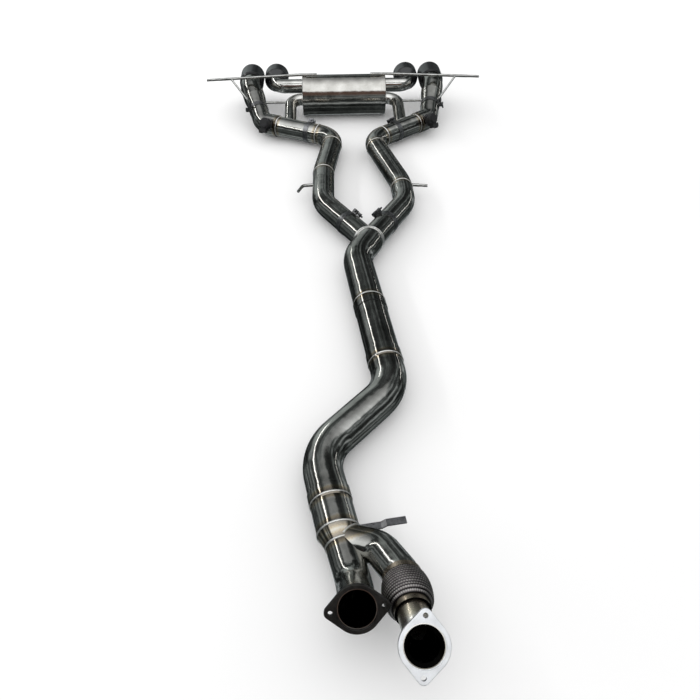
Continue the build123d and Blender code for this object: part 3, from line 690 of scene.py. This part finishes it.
def evenSteps(line, step):
    # the same line with its points evenly spaced
    even = [line[0]]
    for a, b in zip(line, line[1:]):
        while (b - even[-1]).length > step:
            even.append(even[-1] + (b - even[-1]).normalized() * step)
    return even


silencerPorts = {
    "capX": 175.0,
    "inlet": (-24.0, 36.6, 24.0),     # y, z and radius
    "outlet": (60.0, 60.6, 28.5),
}
portBeads = []
for sign in (-1, 1):
    for y, z, radius in (silencerPorts["inlet"], silencerPorts["outlet"]):
        portBeads.append(weldRing(at(sign * silencerPorts["capX"], y, z), Vector((1, 0, 0)), mm(radius)))
meshObject("silencer_port_weld_beads", *joinMeshes(portBeads), weldMetal, "exhaust", "polished_stainless")

for name in crotch["bodies"]:
    parts = []
    for line in creaseLines(name, crotch["leastTurn"]):
        points = evenSteps(line, bead["ripple"] / bead["steps"])
        if len(points) * bead["ripple"] / bead["steps"] < crotch["shortest"]:
            continue
        parts.append(beadMesh(points))
    print(name, "crotch beads", len(parts))
    if parts:
        meshObject(f"{name}_crotch_weld", *joinMeshes(parts), weldMetal, "exhaust", "polished_stainless")
print("welds laid")

braid = {
    "ribs": 12,             # rows of woven strands along the sleeve
    "strands": 56,          # strands around it
    "depth": mm(1.8),
    "skin": mm(2.3),
    "around": 384,
    "rowsPerRib": 8,
    "outlineSteps": 24,
    "outlineReach": mm(3.5),
    "strandLift": 0.45,     # how much of a rib's height the strands make
    "blendShare": 0.9,      # a share of the sleeve's length, leaving out its two ends
}


def wovenBraid():
    # the sleeve follows the outline of the plain one, read off its mesh along the joint's axis
    mesh = nodes["flex_braid"].data
    joint = next(j for j in frame["joints"] if j["name"] == "flex_bend")
    centre = Vector(joint["pos_m"])
    points = [v.co.copy() for v in mesh.vertices]
    rear, front = [sum((Vector(corner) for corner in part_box(name)), Vector()) / 2
                   for name in ("flex_rear_collar", "flex_front_collar")]
    axis = (rear - front).normalized()
    heights = [(p - centre).dot(axis) for p in points]
    radii = [((p - centre) - axis * h).length for p, h in zip(points, heights)]
    low, high = min(heights), max(heights)
    rows = braid["ribs"] * braid["rowsPerRib"]
    first, second = crossFrame(axis)

    def outlineAt(h):
        near = [r for r, other in zip(radii, heights) if abs(other - h) < braid["outlineReach"]]
        return max(near) if near else None

    steps = braid["outlineSteps"]
    levels = [low + (high - low) * i / steps for i in range(steps + 1)]
    samples = [(h, outlineAt(h)) for h in levels if outlineAt(h)]

    def outline(h):
        for (h1, r1), (h2, r2) in zip(samples, samples[1:]):
            if h1 <= h <= h2:
                return r1 + (r2 - r1) * (h - h1) / (h2 - h1)
        return samples[-1][1] if h > samples[-1][0] else samples[0][1]

    verts, faces, lifts = [], [], []
    count = braid["around"]
    for i in range(rows + 1):
        h = low + (high - low) * i / rows
        base = outline(h) - braid["depth"]
        rib = abs(sin(pi * i / braid["rowsPerRib"]))
        odd = (i // braid["rowsPerRib"]) % 2
        for k in range(count):
            turn = 2 * pi * k / count
            over = 0.5 + 0.5 * cos(braid["strands"] * turn + pi * odd)
            lift = rib * (1 - braid["strandLift"] * (1 - over))
            lifts.append(lift)
            r = base + braid["depth"] * lift
            verts.append(centre + axis * h + (first * cos(turn) + second * sin(turn)) * r)
    inner = len(verts)
    for i in (0, rows):
        h = low + (high - low) * i / rows
        r = outline(h) - braid["skin"]
        for k in range(count):
            turn = 2 * pi * k / count
            verts.append(centre + axis * h + (first * cos(turn) + second * sin(turn)) * r)
    for i in range(rows):
        for k in range(count):
            k2 = (k + 1) % count
            faces.append((i * count + k, i * count + k2, (i + 1) * count + k2, (i + 1) * count + k))
    for k in range(count):
        k2 = (k + 1) % count
        faces.append((inner + k, inner + k2, k2, k))
        top = rows * count
        faces.append((top + k, top + k2, inner + count + k2, inner + count + k))
    piece = bpy.data.objects.new("woven_braid", bpy.data.meshes.new("woven_braid"))
    piece.data.from_pydata([tuple(v) for v in verts], [], faces)
    piece.data.shade_smooth()
    shade = piece.data.color_attributes.new("gapShade", "FLOAT_COLOR", "POINT")
    for i, lift in enumerate(lifts + [0.0] * (len(verts) - len(lifts))):
        shade.data[i].color = (lift, lift, lift, 1.0)
    piece.data.materials.append(braidShadedWire)
    bpy.context.scene.collection.objects.link(piece)
    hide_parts("flex_braid")
    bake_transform(piece)


def wovenWire():
    # the same wire woven, with painted shade: pale on its crowns and painted dark down between the strands for the
    # shade there. The strands are drawn about 5 mm wide where real ones are 3 mm, so that they show
    material = braidWire.copy()
    material.name = "woven 304 braid with painted shade"
    tree = material.node_tree
    shader = tree.nodes["Principled BSDF"]
    colour = shader.inputs["Base Color"].links[0].from_socket
    lift = addNode(tree, "ShaderNodeVertexColor", layer_name="gapShade")
    # painted shade: the deeper the wire lies between the strands, the darker its colour
    depth = addNode(tree, "ShaderNodeValToRGB", links={"Fac": lift.outputs["Color"]},
                    stops=[(0.1, "#2e2b2c"), (0.45, "#a19da0"), (0.85, "#ffffff")]).outputs["Color"]
    mix = addNode(tree, "ShaderNodeMix", {"Factor": 1.0}, data_type="RGBA", blend_type="MULTIPLY")
    tree.links.new(colour, mix.inputs["A"])
    tree.links.new(depth, mix.inputs["B"])
    tree.links.new(mix.outputs["Result"], shader.inputs["Base Color"])
    return material


braidShadedWire = wovenWire()
wovenBraid()
print("braid woven")

studio = {
    "floorSize": 24.0,
    "floorDrop": 0.0005,
    "floorClouds": 1.5,        # per metre
    "strips": {
        "left strip": {"centre": (-2.1, 2.0, 1.55), "target": (-0.1, 2.0, 0), "size": (5.6, 0.13),
                       "power": 18.0},
        "right strip": {"centre": (2.4, 2.2, 0.5), "target": (0.1, 2.2, 0), "size": (3.0, 0.06),
                        "power": 2.7},
    },
}


def paleFloor():
    material, tree, shader = newMaterial("pale studio floor")
    spot = addNode(tree, "ShaderNodeTexCoord").outputs["Object"]
    noise = addNode(tree, "ShaderNodeTexNoise", {"Scale": studio["floorClouds"], "Detail": 2.0},
                    {"Vector": spot})
    colour = addNode(tree, "ShaderNodeValToRGB", links={"Fac": noise.outputs["Fac"]},
                     stops=[(0.3, "#fbfbfb"), (0.7, "#ffffff")]).outputs["Color"]
    tree.links.new(colour, shader.inputs["Base Color"])
    shader.inputs["Roughness"].default_value = 0.95
    shader.inputs["Specular IOR Level"].default_value = 0.0
    half = studio["floorSize"] / 2
    mesh = bpy.data.meshes.new("studio_floor")
    mesh.from_pydata([(-half, -half, 0), (half, -half, 0), (half, half, 0), (-half, half, 0)], [],
                     [(0, 1, 2, 3)])
    mesh.materials.append(material)
    floor = bpy.data.objects.new("studio_floor", mesh)
    floor.location.z = -studio["floorDrop"]
    bpy.context.scene.collection.objects.link(floor)
    floor.visible_glossy = False


def softbox(name, centre, target, size, power):
    light = bpy.data.lights.new(name, "AREA")
    light.shape = "RECTANGLE"
    light.size, light.size_y = size
    light.energy = power
    lamp = bpy.data.objects.new(name, light)
    lamp.location = centre
    lamp.rotation_euler = (Vector(target) - Vector(centre)).to_track_quat("-Z", "Y").to_euler()
    bpy.context.scene.collection.objects.link(lamp)


room = {
    "wallScale": 3.2,
    "wallStretch": (1.6, 0.7, 1.2),
    "wallShades": [(0.38, "#1d2020"), (0.49, "#414646"), (0.57, "#747a7b"), (0.67, "#c6cccf")],
    "ceilingTowards": (0, -0.1, 1),
    "ceilingEdge": (0.74, 0.78),       # cosine from the ceiling's centre, as are the pane's two
    "ceilingRagged": 0.12,
    "ceilingTone": (1.0, 1.03, 1.06),
    "ceilingFade": (1.6, 0.42),        # brightness at its front and at its back
    "paneTowards": (-0.33, 0.93, 0.15),
    "paneEdge": (0.925, 0.97),
    "pane": "#b9c1c1",
    "warmWall": "#69534a",
    "warmFront": (-0.68, -0.76),       # how far in front it starts and is full
    "warmFoot": (0.26, 0.38),          # how high it starts and is full
}


def studioWorld():
    # white for the eye and for diffuse light; polished metal sees grey walls with uneven shapes, a
    # pale ceiling that fades towards the back, a warm wall low in front and a pane behind
    world = bpy.data.worlds.new("studio room")
    bpy.context.scene.world = world
    world.use_nodes = True
    tree = world.node_tree
    tree.nodes.clear()
    coords = addNode(tree, "ShaderNodeTexCoord").outputs["Generated"]
    stretched = addNode(tree, "ShaderNodeMapping", {"Scale": room["wallStretch"]}, {"Vector": coords})
    shapes = addNode(tree, "ShaderNodeTexNoise",
                     {"Scale": room["wallScale"], "Detail": 3.0, "Distortion": 0.8},
                     {"Vector": stretched.outputs[0]})
    walls = addNode(tree, "ShaderNodeValToRGB", links={"Fac": shapes.outputs["Fac"]},
                    stops=room["wallShades"]).outputs["Color"]
    split = addNode(tree, "ShaderNodeSeparateXYZ", links={"Vector": coords})
    towards = tuple(Vector(room["ceilingTowards"]).normalized())
    ceiling = addNode(tree, "ShaderNodeVectorMath", {1: towards}, {0: coords}, operation="DOT_PRODUCT")
    ragged = addNode(tree, "ShaderNodeMath", {1: room["ceilingRagged"]},
                     {0: shapes.outputs["Fac"], 2: ceiling.outputs["Value"]}, operation="MULTIPLY_ADD")
    start, full = room["ceilingEdge"]
    lit = addNode(tree, "ShaderNodeMapRange", {"From Min": start, "From Max": full},
                  {"Value": ragged.outputs[0]})
    behind = tuple(Vector(room["paneTowards"]).normalized())
    window = addNode(tree, "ShaderNodeVectorMath", {1: behind}, {0: coords}, operation="DOT_PRODUCT")
    start, full = room["paneEdge"]
    pane = addNode(tree, "ShaderNodeMapRange", {"From Min": start, "From Max": full},
                   {"Value": window.outputs["Value"]})
    start, full = room["warmFront"]
    front = addNode(tree, "ShaderNodeMapRange", {"From Min": start, "From Max": full},
                    {"Value": split.outputs["Y"]})
    start, full = room["warmFoot"]
    above = addNode(tree, "ShaderNodeMapRange", {"From Min": start, "From Max": full},
                    {"Value": split.outputs["Z"]})
    warm = addNode(tree, "ShaderNodeMath", links={0: front.outputs[0], 1: above.outputs[0]},
                   operation="MULTIPLY")
    wall = addNode(tree, "ShaderNodeMix", {"B": linear(room["warmWall"])}, {"Factor": warm.outputs[0]},
                   data_type="RGBA")
    tree.links.new(walls, wall.inputs["A"])
    seen = addNode(tree, "ShaderNodeMix", {"B": linear(room["pane"])}, {"Factor": pane.outputs[0]},
                   data_type="RGBA")
    tree.links.new(wall.outputs["Result"], seen.inputs["A"])
    near, far = room["ceilingFade"]
    fade = addNode(tree, "ShaderNodeMapRange",
                   {"From Min": -0.15, "From Max": 0.5, "To Min": near, "To Max": far},
                   {"Value": split.outputs["Y"]})
    pale = addNode(tree, "ShaderNodeVectorMath", {0: room["ceilingTone"]}, {"Scale": fade.outputs[0]},
                   operation="SCALE")
    whole = addNode(tree, "ShaderNodeMix", links={"Factor": lit.outputs[0]}, data_type="RGBA")
    tree.links.new(pale.outputs[0], whole.inputs["B"])
    tree.links.new(seen.outputs["Result"], whole.inputs["A"])
    path = addNode(tree, "ShaderNodeLightPath")
    mirrored = addNode(tree, "ShaderNodeBackground", {"Strength": 1.0}, {"Color": whole.outputs["Result"]})
    white = addNode(tree, "ShaderNodeBackground", {"Color": (1, 1, 1, 1), "Strength": 1.0})
    mix = addNode(tree, "ShaderNodeMixShader",
                  links={"Fac": path.outputs["Is Glossy Ray"], 1: white.outputs[0], 2: mirrored.outputs[0]})
    addNode(tree, "ShaderNodeOutputWorld", links={"Surface": mix.outputs[0]})


paleFloor()
studioWorld()
for name, strip in studio["strips"].items():
    softbox(name, **strip)

view = {
    "eye": (-86.2, -2919.8, 1218.0),
    "lens": 35.85,
    "tilt": 48.0,
    "turn": -2.2,
    "nearest": 0.05,
}
cameraData = bpy.data.cameras.new("camera")
cameraData.lens = view["lens"]
cameraData.clip_start = view["nearest"]
camera = bpy.data.objects.new("camera", cameraData)
camera.location = at(*view["eye"])
camera.rotation_euler = (radians(view["tilt"]), 0, radians(view["turn"]))
bpy.context.scene.collection.objects.link(camera)
bpy.context.scene.camera = camera
bpy.context.scene.view_settings.view_transform = "Standard"
print("studio lit")
